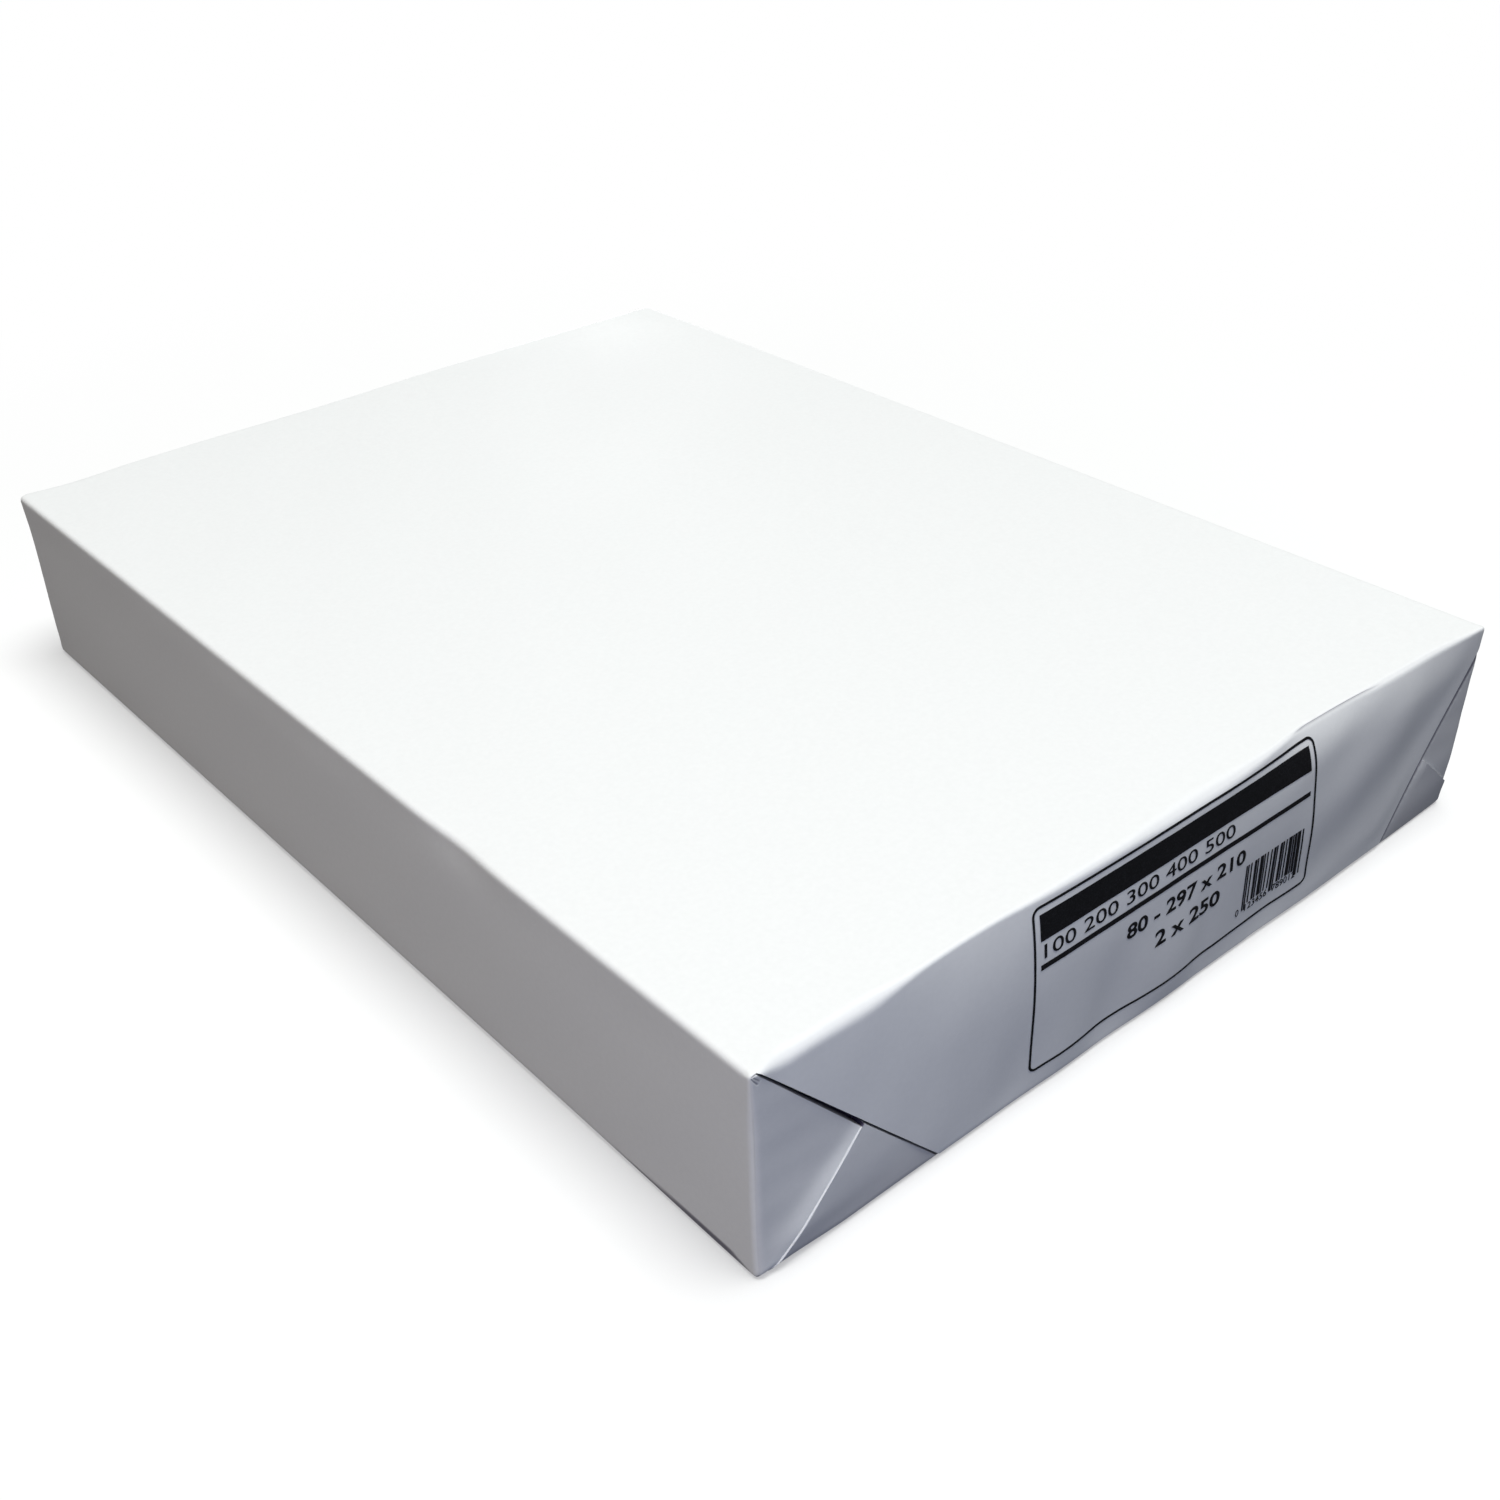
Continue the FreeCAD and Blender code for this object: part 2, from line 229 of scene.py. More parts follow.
def tuck_relief(x, z, end):
    """The side tucks, dished, and swept out to the bottom flap's fold."""
    left = np.maximum(-inside(BOTTOM_LEFT_FOLD, x, z), 0.0)
    width = 1.9 * MM + 1.5 * MM * smooth_step(20 * MM, 5 * MM, z)
    sunk = 0.12 * MM * np.exp(-left / (8 * MM)) * (x < 0)
    rise = ridge_height(z) + 0.2 * MM - RIDGE_BEAD + TUCK_DEPTH + sunk
    broad = np.exp(-(left / (13 * MM)) ** 1.5) * smooth_step(0, 7 * MM, x + HALF_WIDTH)
    ramp = rise * (0.78 * np.exp(-(left / width) ** 1.6) + 0.22 * broad) * (x < 0)
    bead = RIDGE_BEAD * np.clip(1.0 - left / RIDGE_EDGE, 0.0, 1.0) * (x < 0)
    dish_across = (x + HALF_WIDTH - 9 * MM) / (7 * MM)
    dish_upward = (z - 24 * MM) / (13 * MM)
    dish = 0.2 * MM * np.exp(-dish_across ** 2 - dish_upward ** 2)
    swing = 0.1 * MM * smooth_step(13 * MM, 0, HALF_WIDTH - x) + corner_ear(x, z, end)
    cockle = 0.06 * MM * ripple(x, z, 31 + end, (8 * MM, 14 * MM, 21 * MM))
    base = np.where(x < 0, -TUCK_DEPTH, -0.6 * FLAP_STEP)
    return base - sunk + ramp + bead - dish + swing + cockle + low_corner(x, z, end)


def gap_share(x, z, past_ridge):
    """1 in the left gap beside the top flap, less in the right one, 0 where the paper is whole."""
    over_tuck = 1.0 - np.clip(-inside(GAP_LIP, x, z) / LIP_WIDTH, 0.0, 1.0)
    over_flap = 1.0 - np.clip((-inside(TOP_LEFT_FOLD, x, z) - GAP_THIN) / LIP_WIDTH, 0.0, 1.0)
    left = np.where(inside(BOTTOM_LEFT_FOLD, x, z) < past_ridge, over_tuck, over_flap)
    right = 1.0 - np.clip((-inside(TOP_RIGHT_FOLD, x, z) - RIGHT_GAP) / RIGHT_LIP, 0.0, 1.0)
    share = np.where(x < 0, left, 0.75 * right)
    share = np.where(between_top_folds(x, z) | (z < FREE_EDGE - 0.5 * WALL), 0.0, share)
    return share * smooth_step(TOP - 0.2 * MM, TOP - 0.7 * MM, z)


def top_crease(x, z, end):
    """1 along the sharp crease under the top edge of the printed end."""
    across = x + HALF_WIDTH
    along = smooth_step(CREASE_START, CREASE_START + 5 * MM, across)
    along = along * smooth_step(CREASE_END, CREASE_END - 9 * MM, across)
    return along * np.exp(-((TOP - z - CREASE_DROP) / (0.2 * MM)) ** 2) * (end == FRONT)


def corner_creases(x, z):
    """1 along the tiny creases at the printed end's top left corner."""
    place = np.stack([x + HALF_WIDTH, TOP - z], axis=-1) / MM
    share = np.zeros(len(place))
    for across, drop, to_across, to_drop in CORNER_CREASES:
        run = np.array([to_across - across, to_drop - drop])
        from_start = place - np.array([across, drop])
        along = np.clip(from_start @ run / (run @ run), 0.0, 1.0)
        off = np.linalg.norm(from_start - along[:, None] * run, axis=1)
        share = np.maximum(share, np.exp(-(off / 0.15) ** 2))
    return share


def end_relief(x, z, end):
    """How far the folded paper stands out from the end's plane, negative where it lies deeper."""
    on_top_flap = between_top_folds(x, z) & (z > FREE_EDGE - 0.5 * WALL)
    on_bottom_flap = (z < BOTTOM_FLAP_REACH) & (inside(BOTTOM_LEFT_FOLD, x, z) >= 0.0)
    on_bottom_flap &= inside(BOTTOM_RIGHT_FOLD, x, z) >= 0.0
    under = np.where(on_bottom_flap, bottom_flap_relief(x, z, end), tuck_relief(x, z, end))
    depth = np.where(x < 0, GAP_DEPTH, RIGHT_GAP_DEPTH)
    under = under - depth * gap_share(x, z, -2 * HAIR)
    folded = np.where(on_top_flap, top_flap_relief(x, z, end), under)
    folded = folded - 0.25 * MM * top_crease(x, z, end)
    return folded - 0.15 * MM * corner_creases(x, z) * (end == FRONT)


def low_shade(x, y, z):
    """The thin painted shade where the paper turns under, widest and darkest near the near corner."""
    on_long_side = np.abs(x) > HALF_WIDTH - HAIR
    upright = on_long_side | (np.abs(y) > HALF_LENGTH - HAIR)
    along = smooth_step(-88 * MM, -138 * MM, y) * smooth_step(-HALF_LENGTH, -HALF_LENGTH + 9 * MM, y)
    along = along * (x < -HALF_WIDTH + HAIR)
    height = np.where(on_long_side, 0.65 * MM + 1.5 * MM * along, 1.1 * MM)
    return (0.5 + 0.3 * along) * smooth_step(height + 0.3 * MM, height - 0.3 * MM, z) * upright


def tuck_shade(x, z):
    """A painted shade beside the top flap's slanted folds, none on the ramp up to the fold's bead."""
    left_of_flap = inside(TOP_LEFT_FOLD, x, z) < -0.5 * WALL
    right_of_flap = inside(TOP_RIGHT_FOLD, x, z) < -0.5 * WALL
    from_ridge = -inside(BOTTOM_LEFT_FOLD, x, z)
    lit = np.exp(-(from_ridge / (2.2 * MM)) ** 2) * (from_ridge > -0.5 * WALL)
    # More painted shade towards the bottom, on the bottom flap here and on the right below.
    low = 0.2 * smooth_step(11 * MM, 0, z) * (from_ridge < 0)
    left = (0.12 * (1.0 - lit) + low) * left_of_flap
    right = (0.18 + 0.2 * smooth_step(13 * MM, 0, z)) * right_of_flap
    return np.where(x < 0, left, right)


def fold_painted_shade(x, y, z):
    """How much painted shade the paper gets in gaps and creases, beside the top flap and along its foot.
    """
    # Painted shade in the gaps beside the top flap and along the crease under the top edge.
    dark = gap_share(x, z, 2 * HAIR) + 0.55 * top_crease(x, z, np.sign(y))
    dark = np.maximum(dark, tuck_shade(x, z))
    # Painted shade in the tiny creases at the printed end's top left corner.
    dark = np.maximum(dark, 0.7 * corner_creases(x, z) * (y < -HALF_LENGTH + HAIR))
    dark = np.where(np.abs(y) > HALF_LENGTH - HAIR, dark, 0.0)
    return np.maximum(dark, low_shade(x, y, z))


def edge_radius(x, y, z):
    """Radius of the wrapper's bend: each point takes it from the edges nearest to it."""
    to_side = HALF_WIDTH - np.abs(x)
    to_end = HALF_LENGTH - np.abs(y)
    to_level = np.minimum(TOP - z, z)
    across = x + HALF_WIDTH
    on_top = z > 0.5 * TOP
    near_front = smooth_step(-HALF_LENGTH + 60 * MM, -HALF_LENGTH + 5 * MM, y)
    long_edge = np.where(on_top, 1.4 * MM, 1.8 * MM - 0.8 * MM * near_front * (x < 0))
    front_top = curve_through(FRONT_ROLL, 1, across)
    back_top = curve_through(BACK_ROLL, 1, across)
    front_low = 1.0 * MM + 0.9 * MM * smooth_step(130 * MM, 20 * MM, across)
    front_low = front_low + 1.3 * MM * smooth_step(22 * MM, 4 * MM, across)
    top_edge = np.where(y < 0, front_top, back_top)
    low_edge = np.where(y < 0, front_low, 2.6 * MM)
    end_edge = np.where(on_top, top_edge, low_edge)
    low_share = smooth_step(TOP, TOP - 14 * MM, z)
    front_left = 0.7 * MM + 0.9 * MM * low_share
    front_right = 1.2 * MM + 0.8 * MM * low_share
    back_left = 2.0 * MM + 1.2 * MM * low_share
    back_right = 5.2 * MM - 1.6 * MM * low_share
    front_upright = np.where(x < 0, front_left, front_right)
    back_upright = np.where(x < 0, back_left, back_right)
    upright = np.where(y < 0, front_upright, back_upright)
    soft = (1.0 * MM) ** 2
    weights = (
        1.0 / (to_side ** 2 + to_level ** 2 + soft) ** 2,
        1.0 / (to_end ** 2 + to_level ** 2 + soft) ** 2,
        1.0 / (to_side ** 2 + to_end ** 2 + soft) ** 2,
    )
    return sum(w * r for w, r in zip(weights, (long_edge, end_edge, upright))) / sum(weights)


def wrap(points):
    """Bend the sharp-edged block into the wrapped ream: rounded edges, folds, waves and dents."""
    x, y, z = points[:, 0], points[:, 1], points[:, 2]
    radius = edge_radius(x, y, z)
    half = np.array([HALF_WIDTH, HALF_LENGTH, 0.5 * TOP])
    centred = points - np.array([0.0, 0.0, 0.5 * TOP])
    core = np.clip(centred, -(half - radius[:, None]), half - radius[:, None])
    out = centred - core
    length = np.maximum(np.linalg.norm(out, axis=1), 1e-9)
    rounded = core + out / length[:, None] * radius[:, None]
    rounded[:, 2] += 0.5 * TOP
    end_share = smooth_step(HALF_LENGTH - 14 * MM, HALF_LENGTH, np.abs(y))
    relief = np.where(y < 0, end_relief(x, z, FRONT), end_relief(x, z, BACK))
    rounded[:, 1] += np.sign(y) * relief * end_share
    top_share = smooth_step(0, 12 * MM, HALF_WIDTH - np.abs(x))
    top_share = top_share * smooth_step(0, 16 * MM, HALF_LENGTH - np.abs(y))
    sheet = 0.22 * MM * ripple(x, y, 5, (55 * MM, 80 * MM, 120 * MM, 34 * MM))
    rounded[:, 2] += np.where(z > TOP - 0.1 * MM, sheet * top_share, 0.0)
    side_share = smooth_step(0, 10 * MM, TOP - z) * smooth_step(0, 10 * MM, z)
    panel = 0.25 * MM * ripple(y, z, 7, (30 * MM, 46 * MM, 75 * MM))
    on_side = np.abs(x) > HALF_WIDTH - 0.1 * MM
    rounded[:, 0] += np.where(on_side, np.sign(x) * panel * side_share, 0.0)
    dent = np.exp(-((y + 65 * MM) / (9 * MM)) ** 2 - ((z - TOP) / (6 * MM)) ** 2)
    dent = dent * (x < -0.5 * HALF_WIDTH) * smooth_step(-HALF_WIDTH + 6 * MM, -HALF_WIDTH, x)
    rounded[:, 0] += 0.7 * MM * dent
    rounded[:, 2] -= 0.3 * MM * dent
    inner_panel = (z < 3 * MM) & (x > SEAM_AT + 0.5 * WALL)
    rounded[:, 2] += np.where(inner_panel, SEAM_STEP * smooth_step(3 * MM, 1 * MM, z), 0.0)
    return rounded


def read_points(piece):
    """The mesh's points as an array."""
    flat = np.empty(len(piece.data.vertices) * 3)
    piece.data.vertices.foreach_get("co", flat)
    return flat.reshape(-1, 3)


def write_points(piece, points):
    """Move the mesh's points."""
    piece.data.vertices.foreach_set("co", np.ascontiguousarray(points, dtype=np.float32).ravel())
    piece.data.update()


def start_alone():
    """Nothing selected and no object in edit mode."""
    if bpy.context.object and bpy.context.object.mode != "OBJECT":
        bpy.ops.object.mode_set(mode="OBJECT")
    bpy.ops.object.select_all(action="DESELECT")


def select_only(piece):
    """Make one object selected and active."""
    start_alone()
    piece.select_set(True)
    bpy.context.view_layer.objects.active = piece


def select_faces(piece, wanted):
    """Select the faces whose centres pass the test, and nothing else of the mesh."""
    select_only(piece)
    mesh = piece.data
    centres = np.empty(len(mesh.polygons) * 3)
    mesh.polygons.foreach_get("center", centres)
    chosen = wanted(centres.reshape(-1, 3))
    mesh.vertices.foreach_set("select", np.zeros(len(mesh.vertices), dtype=bool))
    mesh.edges.foreach_set("select", np.zeros(len(mesh.edges), dtype=bool))
    mesh.polygons.foreach_set("select", chosen)


def graded_lines(low, high, fine, coarse, growth):
    """Grid lines from low to high, close together at both ends."""
    steps = []
    step = fine
    while step < coarse:
        steps.append(step)
        step *= growth
    middle = high - low - 2 * sum(steps)
    count = max(1, round(middle / coarse))
    widths = steps + [middle / count] * count + steps[::-1]
    lines = low + np.concatenate([[0.0], np.cumsum(widths)])
    lines[-1] = high
    return lines


def panel_grid(first_lines, second_lines, place):
    """A flat grid whose lines lie at these distances, put on one face of the block."""
    bpy.ops.mesh.primitive_grid_add(
        x_subdivisions=len(first_lines) - 1, y_subdivisions=len(second_lines) - 1, size=1.0
    )
    grid = bpy.context.object
    points = read_points(grid)
    first = np.rint((points[:, 0] + 0.5) * (len(first_lines) - 1)).astype(int)
    second = np.rint((points[:, 1] + 0.5) * (len(second_lines) - 1)).astype(int)
    write_points(grid, place(first_lines[first], second_lines[second]))
    return grid


def grid_lines():
    """Where the block's edge lines run across, along and upward."""
    across = graded_lines(-HALF_WIDTH, HALF_WIDTH, 0.28 * MM, 1.15 * MM, 1.16)
    seam = np.argmin(np.abs(across - SEAM_AT))
    across[seam] = SEAM_AT
    across[seam + 1] = SEAM_AT + WALL
    along = graded_lines(-HALF_LENGTH, HALF_LENGTH, 0.28 * MM, 4.6 * MM, 1.12)
    upward = graded_lines(0.0, TOP, 0.25 * MM, 0.95 * MM, 1.2)
    free = np.argmin(np.abs(upward - FREE_EDGE))
    upward[free] = FREE_EDGE
    upward[free - 1] = FREE_EDGE - WALL
    return across, along, upward


def sharp_block():
    """The ream as a sharp-edged block of six fine grids, merged into one closed mesh."""
    across, along, upward = grid_lines()

    def level(height):
        return lambda x, y: np.stack([x, y, np.full_like(x, height)], axis=1)

    def side(place):
        return lambda y, z: np.stack([np.full_like(y, place), y, z], axis=1)

    def end(place):
        return lambda x, z: np.stack([x, np.full_like(x, place), z], axis=1)

    grids = [panel_grid(across, along, level(height)) for height in (0.0, TOP)]
    grids += [panel_grid(along, upward, side(place)) for place in (-HALF_WIDTH, HALF_WIDTH)]
    grids += [panel_grid(across, upward, end(place)) for place in (-HALF_LENGTH, HALF_LENGTH)]
    start_alone()
    for grid in grids:
        grid.select_set(True)
    bpy.context.view_layer.objects.active = grids[0]
    bpy.ops.object.join()
    block = bpy.context.object
    bpy.ops.object.mode_set(mode="EDIT")
    bpy.ops.mesh.select_all(action="SELECT")
    bpy.ops.mesh.remove_doubles(threshold=HAIR)
    bpy.ops.mesh.normals_make_consistent(inside=False)
    bpy.ops.object.mode_set(mode="OBJECT")
    return block


def score_end(block, end, fold, offsets):
    """Cut edge lines across one end, beside a fold, at each distance from it."""
    normal = Vector((fold[2], 0.0, fold[3]))
    for offset in offsets:
        select_faces(block, lambda centres: centres[:, 1] * end > HALF_LENGTH - HAIR)
        bpy.ops.object.mode_set(mode="EDIT")
        place = Vector((fold[0], 0.0, fold[1])) + normal * offset
        bpy.ops.mesh.bisect(plane_co=place, plane_no=normal, threshold=CUT_NEAR)
        bpy.ops.object.mode_set(mode="OBJECT")


def at_creased_corner(centres):
    """The printed end's faces beside its top left corner."""
    on_front = centres[:, 1] < -HALF_LENGTH + HAIR
    return on_front & (centres[:, 0] < -HALF_WIDTH + 2.8 * MM) & (centres[:, 2] > TOP - 3.2 * MM)


def wrapper():
    """The whole wrapper in one piece."""
    block = sharp_block()
    block.name = "paper_wrapper"
    thin_gap = (0.0, -WALL, -GAP_THIN, -GAP_THIN - LIP_WIDTH)
    right_gap = (0.0, -WALL, -RIGHT_GAP, -RIGHT_GAP - RIGHT_LIP)
    ridge = (0.0, WALL, 0.5 * MM, -WALL, -RIDGE_EDGE, -RIDGE_EDGE - 0.2 * MM)
    select_faces(block, at_creased_corner)
    bpy.ops.object.mode_set(mode="EDIT")
    bpy.ops.mesh.subdivide(number_cuts=2)
    bpy.ops.object.mode_set(mode="OBJECT")
    for end in (FRONT, BACK):
        score_end(block, end, TOP_LEFT_FOLD, thin_gap)
        score_end(block, end, GAP_LIP, (0.0, -LIP_WIDTH))
        score_end(block, end, TOP_RIGHT_FOLD, right_gap)
        score_end(block, end, BOTTOM_LEFT_FOLD, ridge)
        score_end(block, end, BOTTOM_RIGHT_FOLD, ridge)
    flat = read_points(block)
    # The painted shade in the gaps, creases, beside the top flap and along the foot, kept on the mesh as
    # a point attribute.
    depth = block.data.attributes.new("painted_fold_shade", "FLOAT", "POINT")
    dark = fold_painted_shade(flat[:, 0], flat[:, 1], flat[:, 2])
    depth.data.foreach_set("value", dark.astype(np.float32))
    write_points(block, wrap(flat))
    select_only(block)
    bpy.ops.object.shade_smooth_by_angle(angle=math.radians(38))
    return block


# How far the print's corners lie off a true rectangle, across and upward: left, then right.
# In millimetres.
PRINT_TOP_OFF = ((-1.3, 0.1), (-2.9, -0.2))
PRINT_BOTTOM_OFF = ((0.7, -0.2), (2.4, 0.4))
# The print, measured from the frame's left side and down from the ream's top edge. A row of
# numbers gives its text, its left and right, and its top and bottom.
FRAME_LINE = 0.56 * MM
FRAME_ROUND = 2.0 * MM
HEADER_INSET = 1.9 * MM
HEADER_DROP = (3.8 * MM, 9.7 * MM)
RULE_DROP = (15.1 * MM, 16.3 * MM)
COUNTING_ROW = ("100 200 300 400 500", 2.8 * MM, 59.1 * MM, 10.7 * MM, 13.9 * MM)
SIZE_ROW = ("80 - 297 x 210", 26.2 * MM, 62.9 * MM, 19.1 * MM, 23.0 * MM)
COUNT_ROW = ("2 x 250", 34.8 * MM, 55.2 * MM, 25.7 * MM, 29.7 * MM)
# The made-up code: the widths of its bars and gaps in turn, in steps.
CODE_RUNS = "1112132112311213122113211212311121321"
CODE_ACROSS = (63.7 * MM, 83.0 * MM)
CODE_DROP = (24.6 * MM, 35.8 * MM)
GUARD_DROP = 37.4 * MM
CODE_DIGITS = ("0", "123456", "789012")
# How far the bars' ink spreads, how far ink lies above the paper's mesh, and its thickness.
INK_SPREAD = 0.09 * MM
INK_LIFT = 0.09 * MM
INK_THICK = 0.05 * MM
BOLD = 0.08 * MM


def ink_field(name, from_left, to_left, from_top, to_top):
    """A flat rectangle of ink on the end's plane, facing out."""
    x = LABEL_LOW[0] + 0.5 * (from_left + to_left)
    z = TOP - 0.5 * (from_top + to_top)
    start_alone()
    facing_out = (math.pi / 2, 0, 0)
    bpy.ops.mesh.primitive_plane_add(size=1.0, location=(x, -HALF_LENGTH, z), rotation=facing_out)
    field = bpy.context.object
    field.name = name
    field.scale = (to_left - from_left, to_top - from_top, 1.0)
    bpy.ops.object.transform_apply(location=True, rotation=True, scale=True)
    return field


def frame_line():
    """The thin ruled frame with rounded corners."""
    width = LABEL_HIGH[0] - LABEL_LOW[0]
    field = ink_field("print_frame_line", 0.0, width, TOP - LABEL_HIGH[2], TOP - LABEL_LOW[2])
    bpy.ops.object.mode_set(mode="EDIT")
    bpy.ops.mesh.select_all(action="SELECT")
    bpy.ops.mesh.bevel(offset=FRAME_ROUND, offset_type="OFFSET", segments=8, affect="VERTICES")
    bpy.ops.mesh.select_all(action="SELECT")
    bpy.ops.mesh.inset(thickness=FRAME_LINE)
    bpy.ops.mesh.delete(type="FACE")
    bpy.ops.object.mode_set(mode="OBJECT")
    return field


def number_row(name, row, bold):
    """A row of plain numbers, set to its width and height."""
    body, from_left, to_left, from_top, to_top = row
    start_alone()
    bpy.ops.object.text_add(location=(0, 0, 0))
    words = bpy.context.object
    words.data.body = body
    words.data.size = 4 * MM
    words.data.offset = bold
    words.data.resolution_u = 4
    bpy.ops.object.convert(target="MESH")
    words = bpy.context.object
    words.name = name
    points = read_points(words)
    low, high = points.min(axis=0), points.max(axis=0)
    share = (points - low) / np.maximum(high - low, 1e-9)
    place = np.empty_like(points)
    place[:, 0] = LABEL_LOW[0] + from_left + share[:, 0] * (to_left - from_left)
    place[:, 1] = -HALF_LENGTH
    place[:, 2] = TOP - to_top + share[:, 1] * (to_top - from_top)
    write_points(words, place)
    return words


def join(name, pieces):
    """One object from several."""
    start_alone()
    for piece in pieces:
        piece.select_set(True)
    bpy.context.view_layer.objects.active = pieces[0]
    bpy.ops.object.join()
    pieces[0].name = name
    return pieces[0]


def code_bars():
    """The made-up bars, the first, middle and last pairs longer than the rest."""
    steps = sum(int(run) for run in CODE_RUNS)
    step = (CODE_ACROSS[1] - CODE_ACROSS[0]) / steps
    middle = len(CODE_RUNS) // 2
    guards = (0, 2, middle, middle + 2, len(CODE_RUNS) - 3, len(CODE_RUNS) - 1)
    bars = []
    left = CODE_ACROSS[0]
    for index, run in enumerate(CODE_RUNS):
        right = left + int(run) * step
        if index % 2 == 0:
            bottom = GUARD_DROP if index in guards else CODE_DROP[1]
            bars.append(ink_field("code_bar", left, right + INK_SPREAD, CODE_DROP[0], bottom))
        left = right
    return join("print_code_bars", bars)


def code_digits():
    """The small digits under the bars."""
    first, left_group, right_group = CODE_DIGITS
    top, bottom = CODE_DROP[1] + 0.3 * MM, CODE_DROP[1] + 2.2 * MM
    left, right = CODE_ACROSS
    middle = 0.5 * (left + right)
    rows = (
        (first, left - 2.0 * MM, left - 0.9 * MM, top, bottom),
        (left_group, left + 1.2 * MM, middle - 0.9 * MM, top, bottom),
        (right_group, middle + 0.9 * MM, right - 1.2 * MM, top, bottom),
    )
    return join("print_code_digits", [number_row("code_digits", row, 0.0) for row in rows])


def lay_on_paper(piece):
    """Cut the flat ink along the wrapper's own lines, bend it onto the paper and give it body."""
    across, _, upward = grid_lines()
    points = read_points(piece)
    across_share = (points[:, 0] - LABEL_LOW[0]) / (LABEL_HIGH[0] - LABEL_LOW[0])
    drop_share = (LABEL_HIGH[2] - points[:, 2]) / (LABEL_HIGH[2] - LABEL_LOW[2])
    for axis, part in ((0, 0), (2, 1)):
        upper = PRINT_TOP_OFF[0][part] * (1 - across_share) + PRINT_TOP_OFF[1][part] * across_share
        lower = PRINT_BOTTOM_OFF[0][part] * (1 - across_share) + PRINT_BOTTOM_OFF[1][part] * across_share
        points[:, axis] += (upper * (1 - drop_share) + lower * drop_share) * MM
    write_points(piece, points)
    low, high = points.min(axis=0), points.max(axis=0)
    cuts = [(Vector((x, 0, 0)), Vector((1, 0, 0))) for x in across if low[0] < x < high[0]]
    cuts += [(Vector((0, 0, z)), Vector((0, 0, 1))) for z in upward if low[2] < z < high[2]]
    select_only(piece)
    bpy.ops.object.mode_set(mode="EDIT")
    for place, normal in cuts:
        bpy.ops.mesh.select_all(action="SELECT")
        bpy.ops.mesh.bisect(plane_co=place, plane_no=normal, threshold=CUT_NEAR)
    bpy.ops.object.mode_set(mode="OBJECT")
    write_points(piece, wrap(read_points(piece)))
    bpy.ops.object.mode_set(mode="EDIT")
    bpy.ops.mesh.select_all(action="SELECT")
    bpy.ops.mesh.remove_doubles(threshold=0.002 * MM)
    bpy.ops.transform.shrink_fatten(value=INK_LIFT)
    bpy.ops.object.mode_set(mode="OBJECT")
    solid = piece.modifiers.new("body", "SOLIDIFY")
    solid.thickness = INK_THICK
    solid.offset = -1.0
    bpy.ops.object.modifier_apply(modifier=solid.name)


def end_print(ink):
    """All the ink on the top flap."""
    width = LABEL_HIGH[0] - LABEL_LOW[0]
    sides = (HEADER_INSET, width - HEADER_INSET)
    pieces = [
        frame_line(),
        ink_field("print_header_bar", *sides, *HEADER_DROP),
        ink_field("print_rule", *sides, *RULE_DROP),
        number_row("print_counting_row", COUNTING_ROW, 0.0),
        number_row("print_sheet_size", SIZE_ROW, BOLD),
        number_row("print_sheet_count", COUNT_ROW, BOLD),
        code_bars(),
        code_digits(),
    ]
    for piece in pieces:
        lay_on_paper(piece)
        give(piece, ink)
        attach(piece, "root")
        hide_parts("end_print")


def material(name):
    """A new node material, its node tree and its shader."""
    made = bpy.data.materials.new(name)
    made.use_nodes = True
    tree = made.node_tree
    shader = tree.nodes["Principled BSDF"]
    return made, tree, shader


def object_noise(tree, scale, detail):
    """Noise on the object's own coordinates."""
    place = tree.nodes.new("ShaderNodeTexCoord")
    noise = tree.nodes.new("ShaderNodeTexNoise")
    noise.inputs["Scale"].default_value = scale
    noise.inputs["Detail"].default_value = detail
    tree.links.new(place.outputs["Object"], noise.inputs["Vector"])
    return noise


def ramp(tree, source, stops):
    """A colour ramp fed by a noise."""
    node = tree.nodes.new("ShaderNodeValToRGB")
    node.color_ramp.elements[0].position = stops[0][0]
    node.color_ramp.elements[0].color = (*stops[0][1], 1.0)
    node.color_ramp.elements[1].position = stops[1][0]
    node.color_ramp.elements[1].color = (*stops[1][1], 1.0)
    tree.links.new(source.outputs["Fac"], node.inputs["Fac"])
    return node


def wrapper_paper():
    """Smooth white wrapping paper: faint mottling, fine fibre, a dull sheen, and painted shade at its
    folds.
    """
    made, tree, shader = material("wrapper_paper")
    mottle = object_noise(tree, 900.0, 4.0)
    colour = ramp(tree, mottle, ((0.3, (0.850, 0.858, 0.860)), (0.7, (0.872, 0.880, 0.882))))
    # Painted shade: the attribute mixes the paper towards this dark blue-grey in its gaps, creases,
    # beside the top flap and along its foot.
    depth = tree.nodes.new("ShaderNodeAttribute")
    depth.attribute_name = "painted_fold_shade"
    shade = tree.nodes.new("ShaderNodeMix")
    shade.data_type = "RGBA"
    shade.inputs["B"].default_value = (0.060, 0.050, 0.095, 1.0)
    tree.links.new(depth.outputs["Fac"], shade.inputs["Factor"])
    tree.links.new(colour.outputs["Color"], shade.inputs["A"])
    tree.links.new(shade.outputs["Result"], shader.inputs["Base Color"])
    gloss = object_noise(tree, 420.0, 3.0)
    dull = ramp(tree, gloss, ((0.3, (0.50, 0.50, 0.50)), (0.7, (0.62, 0.62, 0.62))))
    tree.links.new(dull.outputs["Color"], shader.inputs["Roughness"])
    shader.inputs["Specular IOR Level"].default_value = 0.35
    fibre = object_noise(tree, 1900.0, 4.0)
    bump = tree.nodes.new("ShaderNodeBump")
    bump.inputs["Strength"].default_value = 0.25
    bump.inputs["Distance"].default_value = 0.04 * MM
    tree.links.new(fibre.outputs["Fac"], bump.inputs["Height"])
    tree.links.new(bump.outputs["Normal"], shader.inputs["Normal"])
    return made


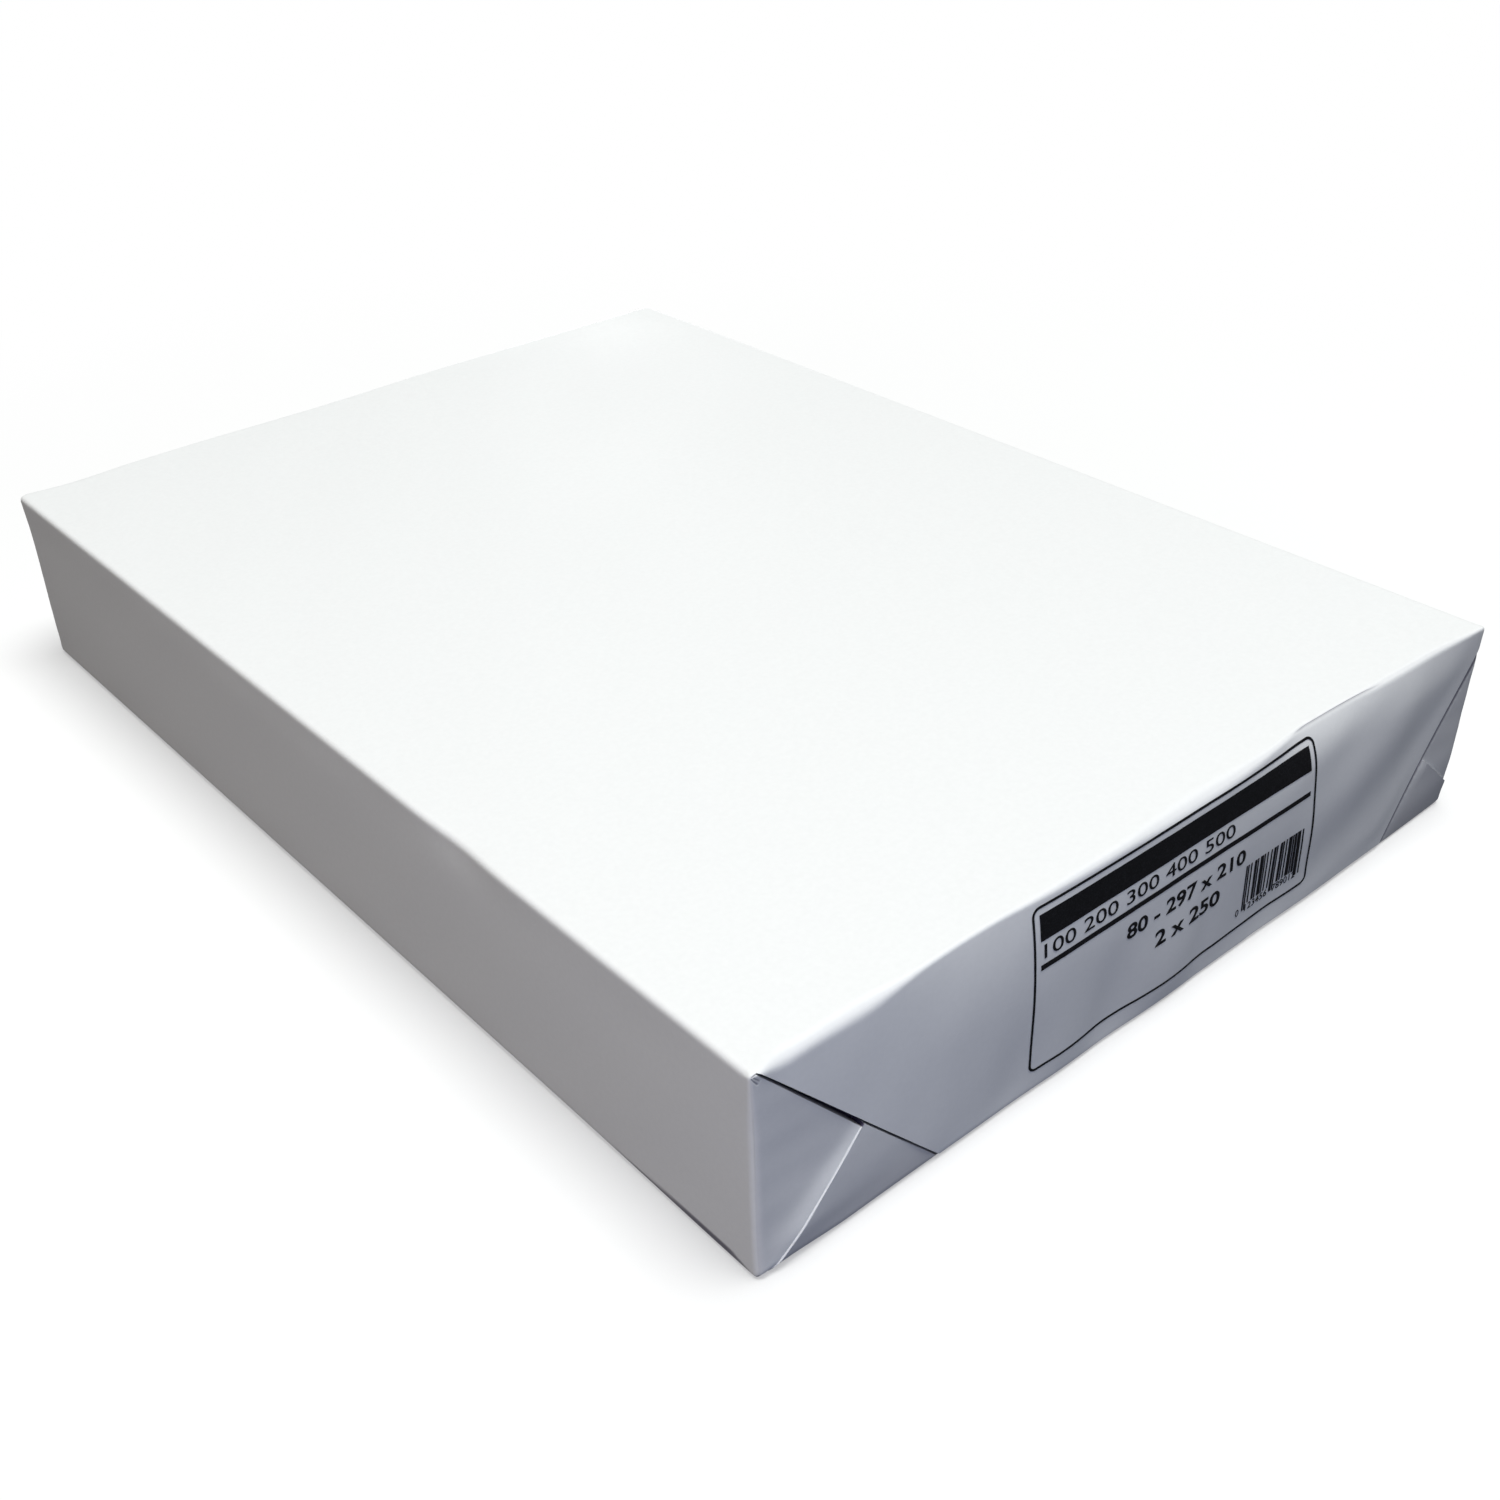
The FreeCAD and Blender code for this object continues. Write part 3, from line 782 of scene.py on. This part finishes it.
def printed_ink():
    """Flat black ink with the paper's tooth showing faintly through."""
    made, tree, shader = material("printed_ink")
    specks = object_noise(tree, 3200.0, 3.0)
    colour = ramp(tree, specks, ((0.45, (0.006, 0.006, 0.007)), (0.95, (0.035, 0.035, 0.040))))
    tree.links.new(colour.outputs["Color"], shader.inputs["Base Color"])
    shader.inputs["Roughness"].default_value = 0.55
    shader.inputs["Specular IOR Level"].default_value = 0.2
    return made


def give(piece, made):
    """Set the piece's only material."""
    piece.data.materials.clear()
    piece.data.materials.append(made)


# How far from the ream's middle the floor is seen lit, where it turns plain white, and how much
# of that white is mixed in beside the ream. In metres, and a share.
LIT_FLOOR_REACH = 0.17
WHITE_FLOOR_START = 0.42
WHITE_SHARE_NEAR = 0.4
# Each lamp's name, place, aim, width, watts and colour.
LAMPS = (
    ("overhead", (0.25, -0.45, 3.0), (0, 0, 0), 1.8, 97.0, (0.985, 1.0, 0.985)),
    ("corner_fill", (-0.28, -0.55, 0.10), (0, -0.14, 0.02), 0.18, 0.435, (0.55, 0.65, 1.0)),
    ("side_fill", (-1.0, -0.30, 0.28), (-0.1, 0, 0.02), 0.6, 2.35, (1.0, 0.92, 0.85)),
    ("back_fill", (0.9, 1.3, 0.075), (0, 0.1, 0.02), 0.13, 6.0, (0.97, 0.98, 1.0)),
)


def pale_floor():
    """The floor's finish: lit, with the ream's shadow, near the ream, and plain white further off."""
    made, tree, shader = material("pale_floor")
    tint = object_noise(tree, 3.0, 2.0)
    colour = ramp(tree, tint, ((0.3, (0.93, 0.93, 0.93)), (0.7, (0.95, 0.95, 0.95))))
    shader.inputs["Roughness"].default_value = 0.9
    shader.inputs["Specular IOR Level"].default_value = 0.1
    tree.links.new(colour.outputs["Color"], shader.inputs["Base Color"])
    white = tree.nodes.new("ShaderNodeEmission")
    place = tree.nodes.new("ShaderNodeTexCoord")
    reach = tree.nodes.new("ShaderNodeVectorMath")
    reach.operation = "LENGTH"
    far = tree.nodes.new("ShaderNodeMapRange")
    far.interpolation_type = "SMOOTHSTEP"
    far.inputs["From Min"].default_value = LIT_FLOOR_REACH
    far.inputs["From Max"].default_value = WHITE_FLOOR_START
    far.inputs["To Min"].default_value = WHITE_SHARE_NEAR
    tree.links.new(place.outputs["Object"], reach.inputs[0])
    tree.links.new(reach.outputs["Value"], far.inputs["Value"])
    seen = tree.nodes.new("ShaderNodeMixShader")
    tree.links.new(far.outputs["Result"], seen.inputs["Fac"])
    tree.links.new(shader.outputs["BSDF"], seen.inputs[1])
    tree.links.new(white.outputs["Emission"], seen.inputs[2])
    dim = tree.nodes.new("ShaderNodeBsdfDiffuse")
    dim.inputs["Color"].default_value = (0.06, 0.06, 0.065, 1.0)
    path = tree.nodes.new("ShaderNodeLightPath")
    mix = tree.nodes.new("ShaderNodeMixShader")
    tree.links.new(path.outputs["Is Camera Ray"], mix.inputs["Fac"])
    tree.links.new(dim.outputs["BSDF"], mix.inputs[1])
    tree.links.new(seen.outputs["Shader"], mix.inputs[2])
    tree.links.new(mix.outputs["Shader"], tree.nodes["Material Output"].inputs["Surface"])
    return made


def lamp(name, place, aim, size, watts, colour):
    """A round lamp turned to its aim."""
    data = bpy.data.lights.new(name, "AREA")
    data.shape = "DISK"
    data.size = size
    data.energy = watts
    data.color = colour
    thing = bpy.data.objects.new(name, data)
    bpy.context.collection.objects.link(thing)
    thing.location = place
    thing.rotation_euler = (Vector(aim) - Vector(place)).to_track_quat("-Z", "Y").to_euler()


def studio_air():
    """The world: dim light all round, and plain white where the camera sees it."""
    world = bpy.data.worlds.new("studio_air")
    bpy.context.scene.world = world
    world.use_nodes = True
    air = world.node_tree
    background = air.nodes["Background"]
    background.inputs["Color"].default_value = (0.95, 0.97, 1.0, 1.0)
    background.inputs["Strength"].default_value = 0.085
    shown = air.nodes.new("ShaderNodeBackground")
    shown.inputs["Color"].default_value = (1.0, 1.0, 1.0, 1.0)
    shown.inputs["Strength"].default_value = 1.0
    path = air.nodes.new("ShaderNodeLightPath")
    mix = air.nodes.new("ShaderNodeMixShader")
    air.links.new(path.outputs["Is Camera Ray"], mix.inputs["Fac"])
    air.links.new(background.outputs["Background"], mix.inputs[1])
    air.links.new(shown.outputs["Background"], mix.inputs[2])
    air.links.new(mix.outputs["Shader"], air.nodes["World Output"].inputs["Surface"])


def studio():
    """Floor, lamps and world."""
    bpy.ops.mesh.primitive_plane_add(size=7.0, location=(0, 0, 0))
    floor = bpy.context.object
    floor.name = "studio_floor"
    give(floor, pale_floor())
    for settings in LAMPS:
        lamp(*settings)
    studio_air()


def camera():
    """The photograph's view, fitted to the ream's corners in it, from the printed end's left."""
    azimuth, elevation, roll = (math.radians(angle) for angle in (-39.37, 32.96, -2.14))
    place = Vector((-233.7, -309.0, 240.9)) * MM
    # The photograph's width and the focal length in its pixels, and the sensor in millimetres.
    photo_size = 1500.0
    focal = 1774.0
    sensor = 36.0
    back = Vector((
        math.sin(azimuth) * math.cos(elevation),
        -math.cos(azimuth) * math.cos(elevation),
        math.sin(elevation),
    ))
    right = Vector((math.cos(azimuth), math.sin(azimuth), 0.0))
    up = back.cross(right)
    turned_right = math.cos(roll) * right + math.sin(roll) * up
    turned_up = -math.sin(roll) * right + math.cos(roll) * up
    data = bpy.data.cameras.new("photo_view")
    data.sensor_width = sensor
    data.lens = sensor * focal / photo_size
    thing = bpy.data.objects.new("photo_view", data)
    bpy.context.collection.objects.link(thing)
    turn = Matrix((turned_right, turned_up, back)).transposed()
    thing.matrix_world = Matrix.Translation(place) @ turn.to_4x4()
    bpy.context.scene.camera = thing


paper = wrapper_paper()
ink = printed_ink()
wrapped = wrapper()
give(wrapped, paper)
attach(wrapped, "root")
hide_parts("wrapped_ream")
end_print(ink)
studio()
camera()
bpy.context.scene.view_settings.view_transform = "Standard"
